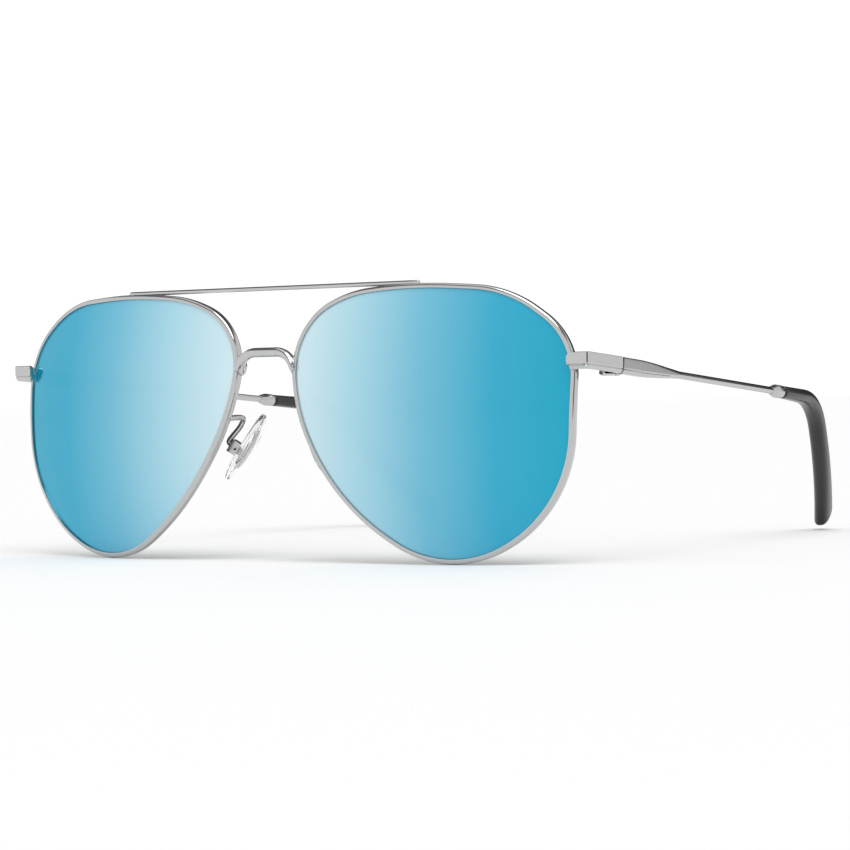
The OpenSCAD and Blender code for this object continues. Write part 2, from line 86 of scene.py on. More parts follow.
# %% Camera
CAM_AZ, CAM_EL, CAM_ROLL = (math.radians(a) for a in (33.0, 0.431, -0.869))
CAM_AIM = Vector((38.10, 0.0, -0.30))
CAM_FAR = 537.3
CAM_LENS = 122.06
back = Vector((math.sin(CAM_AZ) * math.cos(CAM_EL), -math.cos(CAM_AZ) * math.cos(CAM_EL), math.sin(CAM_EL)))
level = Vector((math.cos(CAM_AZ), math.sin(CAM_AZ), 0))
above = back.cross(level)
across = level * math.cos(CAM_ROLL) + above * math.sin(CAM_ROLL)
upward = above * math.cos(CAM_ROLL) - level * math.sin(CAM_ROLL)
camera = bpy.data.objects.new("camera", bpy.data.cameras.new("camera"))
camera.data.lens = CAM_LENS
camera.data.clip_end = 50
spin = TURN.to_3x3() @ Matrix((across, upward, back)).transposed()
camera.matrix_world = Matrix.Translation(STAND @ (CAM_AIM + back * CAM_FAR)) @ spin.to_4x4()
scene.collection.objects.link(camera)
scene.camera = camera
print("camera at", tuple(round(c, 3) for c in camera.matrix_world.translation))

# %% [markdown]
# Every lens opening is ten straight tangents joined by arcs. The arcs are sampled finely and then spaced
# evenly, so that a rim, its groove and its lens can all be drawn from one list of points and outward
# directions. The lens itself is a slice of a ball, so a point of the front is found from its place on
# the lens and how far behind the lens surface it lies.

# %% Outline of a lens
CORNERS = [(28.2, -9, 24.4), (29.1, 15, 14.2), (16.3, 24.5, 22.9), (-3.7, 25.8, 106), (-16.6, 24.5, 27.4),
           (-30.2, 18.7, 13), (-27.7, 2.3, 35.4), (-18.3, -15.2, 48.4), (4.3, -29, 21.3), (20.9, -19.6, 25)]
BASE_R, WRAP, LENS_X = 88.3, math.radians(7.05), 36.7032
END_Z = 11.2        # height of the end pieces, where each rim is cut and closed


def unit(v):
    return v / np.linalg.norm(v)


def tangent_arcs(steps=24):
    """The whole outline as points, corner by corner."""
    points = []
    for i, (u, v, r) in enumerate(CORNERS):
        p = np.array((u, v), float)
        a = unit(np.array(CORNERS[i - 1][:2]) - p)
        b = unit(np.array(CORNERS[(i + 1) % len(CORNERS)][:2]) - p)
        half = math.acos(float(a @ b)) / 2
        middle = p + unit(a + b) * r / math.sin(half)
        start = p + a * r / math.tan(half) - middle
        first, turn = math.atan2(start[1], start[0]), math.pi - 2 * half
        for k in range(steps + 1):
            angle = first + turn * k / steps
            points.append(middle + r * np.array((math.cos(angle), math.sin(angle))))
    return np.array(points)


def even_outline(count, gap=0.0):
    """Evenly spaced points from the saw cut round to the cut again, and their outward directions."""
    raw = tangent_arcs()
    start = max((i for i in range(len(raw)) if raw[i][0] > 0 and raw[i][1] <= END_Z), key=lambda i: raw[i][1])
    raw = np.roll(raw, -start, axis=0)
    raw = np.vstack([raw, raw[:1]])
    far = np.concatenate([[0], np.cumsum(np.linalg.norm(np.diff(raw, axis=0), axis=1))])
    first = (END_Z - raw[0][1]) + gap / 2
    wanted = np.linspace(first, first + far[-1] - gap, count, endpoint=gap > 0)
    spot = np.stack([np.interp(wanted % far[-1], far, raw[:, i]) for i in (0, 1)], axis=1)
    ahead = np.stack([np.interp((wanted + 0.4) % far[-1], far, raw[:, i]) for i in (0, 1)], axis=1)
    behind = np.stack([np.interp((wanted - 0.4) % far[-1], far, raw[:, i]) for i in (0, 1)], axis=1)
    along = ahead - behind
    along /= np.linalg.norm(along, axis=1)[:, None]
    return spot, np.stack([along[:, 1], -along[:, 0]], axis=1)


def on_front(u, v, depth=0.0):
    """A point of the left lens or rim in the front's frame; depth is behind the lens surface."""
    s = BASE_R - math.sqrt(BASE_R**2 - u * u - v * v) + depth
    return (LENS_X + u * math.cos(WRAP) - s * math.sin(WRAP), u * math.sin(WRAP) + s * math.cos(WRAP), v)


spots, outs = even_outline(300)
print("opening", np.round(spots.max(0) - spots.min(0), 2), "mm")

# %% [markdown]
# Almost every piece is a row of rings: a section carried along a path. `tube` joins the rings with
# quads and closes both ends. `make` mirrors a piece for the right side, stands it up, turns the faces
# outwards, sets which edges are sharp and hangs the piece on its CAD body.

# %% Shape helpers
SIDES = {"left": 1, "right": -1}


def tube(rings, closed=False):
    """Points and faces through rings of equal length."""
    m, n = len(rings), len(rings[0])
    faces = [(j * n + k, j * n + (k + 1) % n, (j + 1) % m * n + (k + 1) % n, (j + 1) % m * n + k)
             for j in range(m if closed else m - 1) for k in range(n)]
    if not closed:
        faces += [tuple(range(n))[::-1], tuple((m - 1) * n + k for k in range(n))]
    return [p for r in rings for p in r], faces


def make(name, points, faces, body, slot, stands_for, side=1, own=None, sharp=38):
    """A smooth-shaded piece in the row frame, riding on its body."""
    own = own or Matrix.Identity(4)
    flip = Matrix.Diagonal((side, 1, 1, 1))
    mesh = bpy.data.meshes.new(name)
    mesh.from_pydata([STAND @ flip @ own @ Vector(p) for p in points], [], faces)
    shape = bmesh.new()
    shape.from_mesh(mesh)
    bmesh.ops.recalc_face_normals(shape, faces=shape.faces)
    shape.to_mesh(mesh)
    shape.free()
    mesh.shade_smooth()
    mesh.set_sharp_from_angle(angle=math.radians(sharp))
    return settle(bpy.data.objects.new(name, mesh), body, slot, stands_for)


def settle(piece, body, slot, stands_for):
    """Links a finished piece, lets it ride on its body and hides the CAD nodes it stands for."""
    if piece.name not in scene.collection.objects:
        scene.collection.objects.link(piece)
    piece.data.materials.clear()
    piece.data.materials.append(FINISH[slot])
    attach(piece, body)
    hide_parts(*stands_for)
    return piece


def rounded_box(a, b, r, n):
    """n points, evenly spaced round a rectangle of half sizes a and b with corners of radius r."""
    r = min(r, a, b)
    path = []
    for cx, cy, first in ((a - r, b - r, 0), (r - a, b - r, 90), (r - a, r - b, 180), (a - r, r - b, 270)):
        for k in range(9):
            angle = math.radians(first + 90 * k / 8)
            path.append((cx + r * math.cos(angle), cy + r * math.sin(angle)))
    path = np.array([(a, 0.0)] + path + [(a, 0.0)])
    far = np.concatenate([[0], np.cumsum(np.linalg.norm(np.diff(path, axis=0), axis=1))])
    wanted = np.linspace(0, far[-1], n, endpoint=False)
    return np.stack([np.interp(wanted, far, path[:, i]) for i in (0, 1)], axis=1)


def smooth(points, steps):
    """A smooth curve through points."""
    p = [np.array(q, float) for q in points]
    p = [p[0]] + p + [p[-1]]
    line = []
    for i in range(1, len(p) - 2):
        for k in range(steps):
            q = k / steps
            a, b, c, d = p[i - 1:i + 3]
            line.append((2 * b + (c - a) * q + (2 * a - 5 * b + 4 * c - d) * q * q
                         + (3 * b - a - 3 * c + d) * q**3) / 2)
    return line + [p[-2]]


print("helpers ready")

# %% [markdown]
# ## Finishes
# Three effects are shared, so each is a node group made once. *Polish marks* gives metal the uneven
# gloss and the hair-fine lines of a polishing wheel. *Handling* gives plastic, silicone and lenses soft
# cloudy patches, and the plastic specks of dust. *Edge wear* is a mask that is strong on exposed ridges.

# %% Shared shader groups
def new_group(name, inputs, outputs):
    """An empty shader group with float inputs (name, default) and named float outputs."""
    tree = bpy.data.node_groups.new(name, "ShaderNodeTree")
    for label, value in inputs:
        tree.interface.new_socket(label, in_out="INPUT", socket_type="NodeSocketFloat").default_value = value
    for label in outputs:
        tree.interface.new_socket(label, in_out="OUTPUT", socket_type="NodeSocketFloat")
    return tree, tree.nodes.new("NodeGroupInput"), tree.nodes.new("NodeGroupOutput")


def noise(tree, scale, detail=4.0, stretch=None):
    """A noise texture on Object coordinates, stretched where asked; returns its node."""
    place = tree.nodes.new("ShaderNodeTexCoord")
    texture = tree.nodes.new("ShaderNodeTexNoise")
    texture.inputs["Scale"].default_value = scale
    texture.inputs["Detail"].default_value = detail
    mapping = tree.nodes.new("ShaderNodeMapping")
    mapping.inputs["Scale"].default_value = stretch or (1, 1, 1)
    tree.links.new(place.outputs["Object"], mapping.inputs["Vector"])
    tree.links.new(mapping.outputs["Vector"], texture.inputs["Vector"])
    return texture


def math_node(tree, kind, a, b):
    """One Math node; a and b are sockets or numbers. Returns its output."""
    node = tree.nodes.new("ShaderNodeMath")
    node.operation = kind
    for socket, value in zip(node.inputs, (a, b)):
        if isinstance(value, (int, float)):
            socket.default_value = value
        else:
            tree.links.new(value, socket)
    return node.outputs[0]


def polish_marks():
    tree, given, result = new_group("polish_marks", [("Gloss", 0.08), ("Unevenness", 0.06)],
                                    ["Roughness", "Height"])
    cloud = noise(tree, 180, 3)
    hairs = noise(tree, 900, 6, (1, 0.12, 1))
    spread = math_node(tree, "MULTIPLY", cloud.outputs["Fac"], given.outputs["Unevenness"])
    fine = math_node(tree, "MULTIPLY", hairs.outputs["Fac"], 0.03)
    base = math_node(tree, "ADD", given.outputs["Gloss"], spread)
    tree.links.new(math_node(tree, "ADD", base, fine), result.inputs["Roughness"])
    tree.links.new(hairs.outputs["Fac"], result.inputs["Height"])
    return tree


def handling():
    tree, given, result = new_group("handling", [("Gloss", 0.1), ("Smudge", 0.08), ("Grain", 400.0)],
                                    ["Roughness", "Height", "Dust"])
    cloud = noise(tree, 60, 5)
    grain = noise(tree, 1500, 2)
    tree.links.new(given.outputs["Grain"], grain.inputs["Scale"])
    smudge = math_node(tree, "MULTIPLY", cloud.outputs["Fac"], given.outputs["Smudge"])
    tree.links.new(math_node(tree, "ADD", given.outputs["Gloss"], smudge), result.inputs["Roughness"])
    tree.links.new(grain.outputs["Fac"], result.inputs["Height"])
    speck = math_node(tree, "GREATER_THAN", noise(tree, 2200, 0).outputs["Fac"], 0.78)
    tree.links.new(speck, result.inputs["Dust"])
    return tree


def edge_wear():
    tree, given, result = new_group("edge_wear", [("Amount", 1.0)], ["Mask"])
    shape = tree.nodes.new("ShaderNodeNewGeometry")
    ridge = tree.nodes.new("ShaderNodeMapRange")
    ridge.inputs["From Min"].default_value = 0.52
    ridge.inputs["From Max"].default_value = 0.62
    tree.links.new(shape.outputs["Pointiness"], ridge.inputs["Value"])
    broken = math_node(tree, "MULTIPLY", ridge.outputs["Result"], noise(tree, 700, 3).outputs["Fac"])
    tree.links.new(math_node(tree, "MULTIPLY", broken, given.outputs["Amount"]), result.inputs["Mask"])
    return tree


GROUPS = {"polish": polish_marks(), "handling": handling(), "wear": edge_wear()}
print("groups", sorted(GROUPS))

# %% [markdown]
# A material takes its constants on the Principled shader itself, and lets the groups change only what
# varies over the surface. `finish` makes the shader, and `add` drops a group beside it.

# %% Material helpers
def finish(name, colour, **constants):
    """A material with one Principled shader; constants are set on its own sockets."""
    material = bpy.data.materials.new(name)
    material.use_nodes = True
    shader = material.node_tree.nodes["Principled BSDF"]
    shader.inputs["Base Color"].default_value = (*colour, 1)
    for label, value in constants.items():
        shader.inputs[label.replace("_", " ")].default_value = value
    return material, material.node_tree, shader


def add(tree, group, **values):
    """A shared group placed in a material, with its own values."""
    node = tree.nodes.new("ShaderNodeGroup")
    node.node_tree = GROUPS[group]
    for label, value in values.items():
        node.inputs[label].default_value = value
    return node


def bump(tree, shader, height, strength, distance=0.00002):
    """Feeds a height to the shader's normal."""
    node = tree.nodes.new("ShaderNodeBump")
    node.inputs["Strength"].default_value = strength
    node.inputs["Distance"].default_value = distance
    tree.links.new(height, node.inputs["Height"])
    tree.links.new(node.outputs["Normal"], shader.inputs["Normal"])


def vary_colour(tree, shader, mask, low, high):
    """Base Color runs from low to high with a mask."""
    ramp = tree.nodes.new("ShaderNodeValToRGB")
    ramp.color_ramp.elements[0].color = (*low, 1)
    ramp.color_ramp.elements[1].color = (*high, 1)
    tree.links.new(mask, ramp.inputs["Fac"])
    tree.links.new(ramp.outputs["Color"], shader.inputs["Base Color"])


FINISH = {}
print("material helpers ready")

# %% [markdown]
# The metal is a polished nickel alloy. It has almost no colour of its own, so its light and dark lines
# come from the room. The rims, the brow bar and bridge, the temples and the small pad parts are plated
# apart, so their gloss differs slightly. The screws are plain steel, a little warmer and rougher.

# %% Metal finishes
for slot, colour, gloss, uneven in (("rim_metal", (0.52, 0.52, 0.52), 0.07, 0.05),
                                    ("frame_metal", (0.54, 0.54, 0.54), 0.05, 0.05),
                                    ("temple_metal", (0.52, 0.52, 0.52), 0.08, 0.06),
                                    ("pad_metal", (0.50, 0.50, 0.50), 0.10, 0.08),
                                    ("screw_steel", (0.44, 0.435, 0.43), 0.16, 0.10)):
    FINISH[slot], tree, shader = finish(slot, colour, Metallic=1.0)
    marks = add(tree, "polish", Gloss=gloss, Unevenness=uneven)
    tree.links.new(marks.outputs["Roughness"], shader.inputs["Roughness"])
    bump(tree, shader, marks.outputs["Height"], 0.04)
    worn = add(tree, "wear", Amount=0.8)
    vary_colour(tree, shader, worn.outputs["Mask"], colour, tuple(min(1, c * 1.12) for c in colour))
print("metals", [s for s in FINISH])

# %% [markdown]
# The lenses carry a mirror coating. Its colour is painted as a gradient from pale silver at the nose to
# deep blue at the temple. This gradient is a painted reflection of the room, and it reads the lens's own UV
# map.
# From behind, the same lens is a dark grey-blue tint, which is a second finish on the back faces.

# %% Lens finishes
# Painted reflection: these colour stops stand in for the room mirrored in the lens, pale at the nose and deep
# blue at the temple.
PAINTED_REFLECTION_STOPS = [(0.00, (0.65, 0.83, 0.89)), (0.25, (0.40, 0.685, 0.80)), (0.50, (0.165, 0.515, 0.685)),
              (0.75, (0.03, 0.405, 0.605)), (1.00, (0.0, 0.38, 0.56))]
LENS_SOLID = 0.96      # how much of what is behind the lens its coating hides
FINISH["lens"], tree, shader = finish("lens_mirror", PAINTED_REFLECTION_STOPS[2][1], Metallic=0.55, Alpha=LENS_SOLID)
# The lens's UV X carries the painted reflection gradient into the base colour.
chart = tree.nodes.new("ShaderNodeUVMap")
chart.uv_map = "lens"
parts = tree.nodes.new("ShaderNodeSeparateXYZ")
ramp = tree.nodes.new("ShaderNodeValToRGB")
while len(ramp.color_ramp.elements) < len(PAINTED_REFLECTION_STOPS):
    ramp.color_ramp.elements.new(0.5)
for element, (place, colour) in zip(ramp.color_ramp.elements, PAINTED_REFLECTION_STOPS):
    element.position = place
    element.color = (*colour, 1)
tree.links.new(chart.outputs["UV"], parts.inputs["Vector"])
tree.links.new(parts.outputs["X"], ramp.inputs["Fac"])
tree.links.new(ramp.outputs["Color"], shader.inputs["Base Color"])
touch = add(tree, "handling", Gloss=0.07, Smudge=0.04, Grain=300)
tree.links.new(touch.outputs["Roughness"], shader.inputs["Roughness"])

FINISH["lens_back"], tree, shader = finish("lens_tint", (0.03, 0.06, 0.09), Alpha=0.75)
touch = add(tree, "handling", Gloss=0.04, Smudge=0.06, Grain=300)
tree.links.new(touch.outputs["Roughness"], shader.inputs["Roughness"])
print("lens stops", len(PAINTED_REFLECTION_STOPS))

# %% [markdown]
# The temple tips are moulded plastic, dark grey and satin, with a very fine grain. The nose pads are
# clear silicone: soft, faintly cloudy, and bright where light gathers in them.

# %% Plastic and silicone
TIP_GREY = (0.009, 0.0095, 0.0105)
FINISH["tip_plastic"], tree, shader = finish("tip_plastic", TIP_GREY)
touch = add(tree, "handling", Gloss=0.24, Smudge=0.10, Grain=2500)
tree.links.new(touch.outputs["Roughness"], shader.inputs["Roughness"])
bump(tree, shader, touch.outputs["Height"], 0.12)
vary_colour(tree, shader, touch.outputs["Dust"], TIP_GREY, tuple(c * 1.8 for c in TIP_GREY))

FINISH["pad_silicone"], tree, shader = finish("pad_silicone", (0.98, 0.98, 0.98), IOR=1.36,
                                              Transmission_Weight=0.95)
touch = add(tree, "handling", Gloss=0.02, Smudge=0.08, Grain=900)
tree.links.new(touch.outputs["Roughness"], shader.inputs["Roughness"])
bump(tree, shader, touch.outputs["Height"], 0.08)
print("finishes", sorted(FINISH))

# %% [markdown]
# ## Rims
# A rim is a drawn wire with a groove on its inside that grips the lens. The wire is bent round the lens
# and closed at a saw cut behind the end piece. It is made as one section, with its two rounded lips and
# its groove, carried round the outline from one side of the cut to the other.

# %% Rims
RIM_SECTION = [(0.00, -0.28), (0.04, -0.36), (0.12, -0.40), (0.50, -0.40), (0.70, -0.365), (0.85, -0.27),
               (0.93, -0.12), (0.95, 0.06), (0.95, 0.80), (0.93, 0.98), (0.85, 1.12), (0.70, 1.215),
               (0.50, 1.25), (0.12, 1.25), (0.04, 1.21), (0.00, 1.13), (0.00, 0.80), (0.33, 0.78),
               (0.33, 0.22), (0.00, 0.20)]
RIM_CUT = 0.2


def rim_rings():
    spots, outs = even_outline(420, RIM_CUT)
    return [[on_front(*(p + r * o), depth) for r, depth in RIM_SECTION] for p, o in zip(spots, outs)]


for word, side in SIDES.items():
    rim = make(f"rim_{word}_wire", *tube(rim_rings()), "front", "rim_metal", [f"rim_{word}"], side)
    print(rim.name, len(rim.data.polygons), "faces")

# %% [markdown]
# ## Lenses
# A lens is a shallow dish with a thin bevelled edge that sits in the rim's groove. Rings that shrink
# towards the middle follow the ball exactly, so the mirror shows no flat spots. Each point keeps its
# place across and up the lens in a UV map, which the painted reflection gradient reads.

# %% Lenses
LENS_T = 1.0
LENS_STEPS = [1 - (1 - k / 22) ** 1.25 for k in range(1, 23)]
LENS_EDGE = [(-0.03, 0.0), (-0.01, 0.12), (0.02, 0.26), (0.31, 0.27), (0.31, 0.73), (0.02, 0.74),
             (-0.03, 1.0)]
# The colour chart is the painted reflection gradient laid over the lens.
CHART_CORNER = (28.8, 25.45)    # how far the colour chart reaches inward and down from the lens centre
CHART_SIZE = (57.4, 50.9)


def lens_mesh(count=240):
    spots, outs = even_outline(count)
    flat, rings = [], []
    for t in [s for s in LENS_STEPS if s < 0.999]:
        rings.append([(*(p * t), 0.0) for p in spots])
    for r, depth in LENS_EDGE:
        rings.append([(*(p + r * o), depth) for p, o in zip(spots, outs)])
    for t in reversed([s for s in LENS_STEPS if s < 0.999]):
        rings.append([(*(p * t), LENS_T) for p in spots])
    flat = [q for ring in rings for q in ring] + [(0, 0, 0.0), (0, 0, LENS_T)]
    m, n = len(rings), count
    faces = [(j * n + k, j * n + (k + 1) % n, (j + 1) * n + (k + 1) % n, (j + 1) * n + k)
             for j in range(m - 1) for k in range(n)]
    faces += [(m * n, (k + 1) % n, k) for k in range(n)]
    faces += [(m * n + 1, (m - 1) * n + k, (m - 1) * n + (k + 1) % n) for k in range(n)]
    return flat, faces


for word, side in SIDES.items():
    flat, faces = lens_mesh()
    lens = make(f"lens_{word}_dish", [on_front(*q) for q in flat], faces, "front", "lens",
                [f"lens_{word}"], side)
    chart = lens.data.uv_layers.new(name="lens")
    for loop in lens.data.loops:
        u, v, depth = flat[loop.vertex_index]
        chart.data[loop.index].uv = ((u + CHART_CORNER[0]) / CHART_SIZE[0],
                                           (v + CHART_CORNER[1]) / CHART_SIZE[1])
    lens.data.materials.append(FINISH["lens_back"])
    for face in lens.data.polygons:
        if all(flat[i][2] > 0.6 for i in face.vertices):
            face.material_index = 1
    print(lens.name, len(lens.data.polygons), "faces")

# %% [markdown]
# ## Brow bar
# The brow bar is a straight round rod across the tops of both rims, with rounded ends. Where it touches
# a rim it is brazed, and the braze leaves a small smooth foot between rod and rim.

# %% Brow bar
BAR_LEN, BAR_D, BAR_Y, BAR_Z = 69.6, 0.9, 4.0335, 26.55


def rod_rings(length, radius, sides=24, steps=40, end=0.9):
    """Rings along X with domed ends."""
    rings = []
    places = [(-length / 2 + end * radius * (1 - math.cos(a)), math.sin(a)) for a in
              [math.radians(d) for d in (8, 25, 45, 65, 90)]]
    middle = [(-length / 2 + radius + (length - 2 * radius) * k / steps, 1.0) for k in range(1, steps)]
    for x, grow in places + middle + [(-x, g) for x, g in reversed(places)]:
        rings.append([(x, grow * radius * math.cos(2 * math.pi * k / sides),
                       grow * radius * math.sin(2 * math.pi * k / sides)) for k in range(sides)])
    return rings


rod = [[(x, BAR_Y + y, BAR_Z + z) for x, y, z in ring] for ring in rod_rings(BAR_LEN, BAR_D / 2)]
bar = make("brow_bar_rod", *tube(rod), "front", "frame_metal", ["top_bar"])
print(bar.name, round(BAR_LEN, 1), "mm long")

# %% Braze feet under the brow bar
FOOT_AT = 31.2        # how far from the middle each outer foot sits


def pebble(centre, sizes, n=20, m=12):
    """A small smooth bead, closed at both poles by one face."""
    rings = []
    for j in range(1, m):
        a = math.pi * j / m
        rings.append([(centre[0] + sizes[0] * math.sin(a) * math.cos(2 * math.pi * k / n),
                       centre[1] + sizes[1] * math.sin(a) * math.sin(2 * math.pi * k / n),
                       centre[2] + sizes[2] * math.cos(a)) for k in range(n)])
    return tube(rings)


BAR_FOOT_SIZE = (0.8, 0.45, 0.45)
for word, side in SIDES.items():
    make(f"brow_bar_foot_{word}", *pebble((FOOT_AT, BAR_Y, BAR_Z - 0.55), BAR_FOOT_SIZE),
         "front", "frame_metal", ["top_bar"], side)
print("feet at", FOOT_AT, "mm")

# %% [markdown]
# ## Bridge
# The bridge is a thicker rod, bent to a flat-topped arch. Its ends are pressed flat and brazed to the
# sides of the rims as long ovals. The section therefore changes along the path: round in the middle,
# and wide and thin at each foot.

# %% Bridge
BRIDGE_D, BRIDGE_FLAT, BRIDGE_BEND, BRIDGE_Z, BRIDGE_Y = 1.9, 5.0, 4.3, 14.1, 2.33716
BRIDGE_TURN, BRIDGE_LEG, FOOT_D = math.radians(66), 1.4, 3.4
BRIDGE_HALF = BRIDGE_FLAT / 2 + BRIDGE_BEND * BRIDGE_TURN + BRIDGE_LEG


def bridge_ring(q, side, sides=32):
    """The section a length q from the middle."""
    a = min(max((q - BRIDGE_FLAT / 2) / BRIDGE_BEND, 0), BRIDGE_TURN)
    leg = max(0, q - BRIDGE_FLAT / 2 - BRIDGE_BEND * BRIDGE_TURN)
    x = min(q, BRIDGE_FLAT / 2) + BRIDGE_BEND * math.sin(a) + leg * math.cos(a)
    z = BRIDGE_Z - BRIDGE_BEND * (1 - math.cos(a)) - leg * math.sin(a)
    press = min(max((q - BRIDGE_FLAT / 2) / (BRIDGE_HALF - BRIDGE_FLAT / 2), 0), 1) ** 2
    end = math.sqrt(max(0.03, 1 - max(0, 1 - (BRIDGE_HALF - q) / 1.2) ** 2))
    wide, thin = BRIDGE_D + (FOOT_D - BRIDGE_D) * press, BRIDGE_D - 0.5 * press
    ring = []
    for k in range(sides):
        angle = 2 * math.pi * k / sides
        c, s = math.cos(angle) * wide / 2 * end, math.sin(angle) * thin / 2 * end
        ring.append((side * (x + s * math.sin(a)), BRIDGE_Y + c, z + s * math.cos(a)))
    return ring


places = [BRIDGE_HALF * math.sin(math.radians(d)) for d in np.linspace(-90, 90, 73)]
bridge = make("bridge_arch", *tube([bridge_ring(abs(q), -1 if q < 0 else 1) for q in places]),
              "front", "frame_metal", ["bridge"])
print(bridge.name, len(bridge.data.polygons), "faces")

# %% Pressed feet of the bridge
BRIDGE_FOOT_AT = (6.3, BRIDGE_Y + 0.6, 11.5)
BRIDGE_FOOT_SIZE = (0.95, 1.2, 1.85)
for word, side in SIDES.items():
    make(f"bridge_foot_{word}", *pebble(BRIDGE_FOOT_AT, BRIDGE_FOOT_SIZE), "front",
         "frame_metal", ["bridge"], side)
print("bridge feet", len(SIDES))

# %% [markdown]
# ## End pieces
# An end piece is a flat bar bent to an L. Its short leg lies over the rim, and its long leg runs back to
# the hinge, falling a little. A fine line is scored above its bevelled lower edge. One section is carried
# round the L, and its height shrinks over a short rounding at the inner end.

# %% End pieces
END_H, END_T, END_X, END_Y, END_INNER = 3.2, 1.2, 69.0093, 7.36576, 64.3593
HINGE_BACK, SLOPE, TOE = 13.3, math.radians(4.1), math.radians(2.3)
BARREL_ROOM = 1.2     # radius kept free round the hinge pin
END_ROUND = 0.7       # length of the rounding at the bar's inner end
SCORE = -0.75         # height of the scored line from the bar's middle


def bar_section(a, b, r, score, depth, n=72):
    """Outward and up: a rounded bar with a scored line and a bevel under it on the outside."""
    ring = []
    for out, up in rounded_box(a, b, r, n):
        if out > -0.2 * a and up < score - 0.1 and depth > 0:
            out = min(out, a - 0.62 * (score - 0.1 - up) * depth)
        if out > 0.2 * a:
            out -= 0.20 * depth * math.exp(-((up - score) / 0.09) ** 2)
        ring.append((out, up))
    return ring


def let_in(ring, from_pin, along):
    """Keeps the inside of a section clear of the hinge's barrel, whose middle is from_pin inwards."""
    if abs(along) >= BARREL_ROOM:
        return ring
    least = math.sqrt(BARREL_ROOM**2 - along * along) - from_pin
    return [(max(out, least), up) for out, up in ring]


def end_piece_rings():
    """Sections from the inner end, round the corner and back to the hinge."""
    path = []
    for k in range(13):
        d = END_ROUND * (1 - math.cos(math.radians(90 * k / 12)))
        tall = max(0.4, 1 - (1 - d / END_ROUND) ** 2.4) ** 0.5
        path.append((END_INNER + d, END_Y + END_T / 2, 0, tall))
    for x in np.linspace(END_INNER + END_ROUND, END_X - END_T, 10)[1:]:
        path.append((x, END_Y + END_T / 2, 0, 1))
    for degree in range(10, 91, 10):
        a = math.radians(degree)
        path.append((END_X - END_T + END_T / 2 * math.sin(a), END_Y + END_T - END_T / 2 * math.cos(a), a, 1))
    hinge_end = END_Y + HINGE_BACK - 0.05
    straight = np.linspace(END_Y + END_T, hinge_end - 1.25, 14)[1:]
    for y in list(straight) + list(np.linspace(hinge_end - 1.2, hinge_end, 12)):
        path.append((END_X - END_T / 2, y, math.pi / 2, 1))
    rings = []
    for x, y, a, tall in path:
        fall = max(0, y - END_Y - END_T) * math.tan(SLOPE)
        ring = bar_section(END_T / 2, END_H / 2, 0.22, SCORE, 1.0)
        ring = let_in(ring, END_X - END_T / 2 - HINGE.x, y - HINGE.y)
        rings.append([(x + out * math.sin(a), y - out * math.cos(a), END_Z - fall + up * tall)
                      for out, up in ring])
    return rings


for word, side in SIDES.items():
    end = make(f"end_piece_{word}_bar", *tube(end_piece_rings()), "front", "frame_metal",
               [f"end_piece_{word}"], side, sharp=30)
    print(end.name, len(end.data.polygons), "faces")

# %% [markdown]
# ## Temples
# The temple starts at the hinge as a flat blade as tall as the end piece and keeps its scored line. The
# blade narrows to a round bar, which runs into a collar and a plastic tip. `AT_TEMPLE` carries the
# temple's own frame, back from the hinge, into the front's frame.

# %% Temples
BLADE_X, BLADE_T, WIRE_D, TIP_START = 68.4093, 1.5, 1.5, 73.3
AT_TEMPLE = (Matrix.Translation((BLADE_X, HINGE.y, HINGE.z)) @ Matrix.Rotation(-SLOPE, 4, "X")
             @ Matrix.Rotation(TOE, 4, "Z"))
BLADE_SHAPE = [(0.1, 1.6), (8, 1.6), (12, 1.46), (16, 1.26), (20, 1.02), (25, 0.75), (80, 0.75)]


def temple_rings():
    rings = []
    ys = [*np.linspace(0.1, 1.25, 12), *np.linspace(1.5, 26, 56), *np.linspace(27, TIP_START - 0.6, 40)]
    for y in ys:
        tall = float(np.interp(y, [p[0] for p in BLADE_SHAPE], [p[1] for p in BLADE_SHAPE]))
        turn = min(max((y - 12) / 13, 0), 1)
        radius = 0.28 + (WIRE_D / 2 - 0.28) * turn
        score = SCORE * tall / 1.6
        ring = bar_section(BLADE_T / 2, tall, radius, score, max(0.0, 1 - y / 24))
        ring = let_in(ring, BLADE_X - HINGE.x, y)
        rings.append([(out, y, up) for out, up in ring])
    return rings


for word, side in SIDES.items():
    temple = make(f"temple_{word}_bar", *tube(temple_rings()), f"temple_{word}_body", "temple_metal",
                  [f"temple_{word}"], side, AT_TEMPLE, 30)
    print(temple.name, len(temple.data.polygons), "faces")

# %% [markdown]
# ## Collars
# A small turned collar hides the step between the thin bar and the thicker tip. Its front is a cone and
# its back is a straight ring with a shallow turned line. A turned piece is a profile spun about its axis.

# %% Collars
COLLAR_LEN = 4.6
COLLAR_SIDES = 40
COLLAR_PROFILE = [(0.0, 0.80), (0.15, 0.86), (1.1, 1.14), (2.0, 1.36), (2.25, 1.40), (3.2, 1.40),
                  (3.32, 1.33), (3.44, 1.40), (4.45, 1.40), (4.6, 1.30)]
COLLAR_TURNS = [2 * math.pi * k / COLLAR_SIDES for k in range(COLLAR_SIDES)]
for word, side in SIDES.items():
    rings = [[(r * math.cos(a), TIP_START - COLLAR_LEN + y, r * math.sin(a)) for a in COLLAR_TURNS]
             for y, r in COLLAR_PROFILE]
    make(f"collar_{word}_turned", *tube(rings), f"temple_{word}_body", "temple_metal", [f"ferrule_{word}"],
         side, AT_TEMPLE, 25)
print("collars", COLLAR_LEN, "mm")

# %% [markdown]
# ## Temple tips
# The tip bends down behind the ear and in towards the head, and grows from a thin oval to a wide rounded
# paddle. It is a sweep again, with a section between an oval and a rounded box.

# %% Temple tips
TIP_STRAIGHT, TIP_BEND_R, TIP_BEND, TIP_DROP, TIP_IN = 13.5, 22.0, math.radians(41), 30.0, 11.0
TIP_H0, TIP_H1, TIP_T = 2.6, 6.4, 3.7
TIP_LEN = TIP_STRAIGHT + TIP_BEND_R * TIP_BEND + TIP_DROP


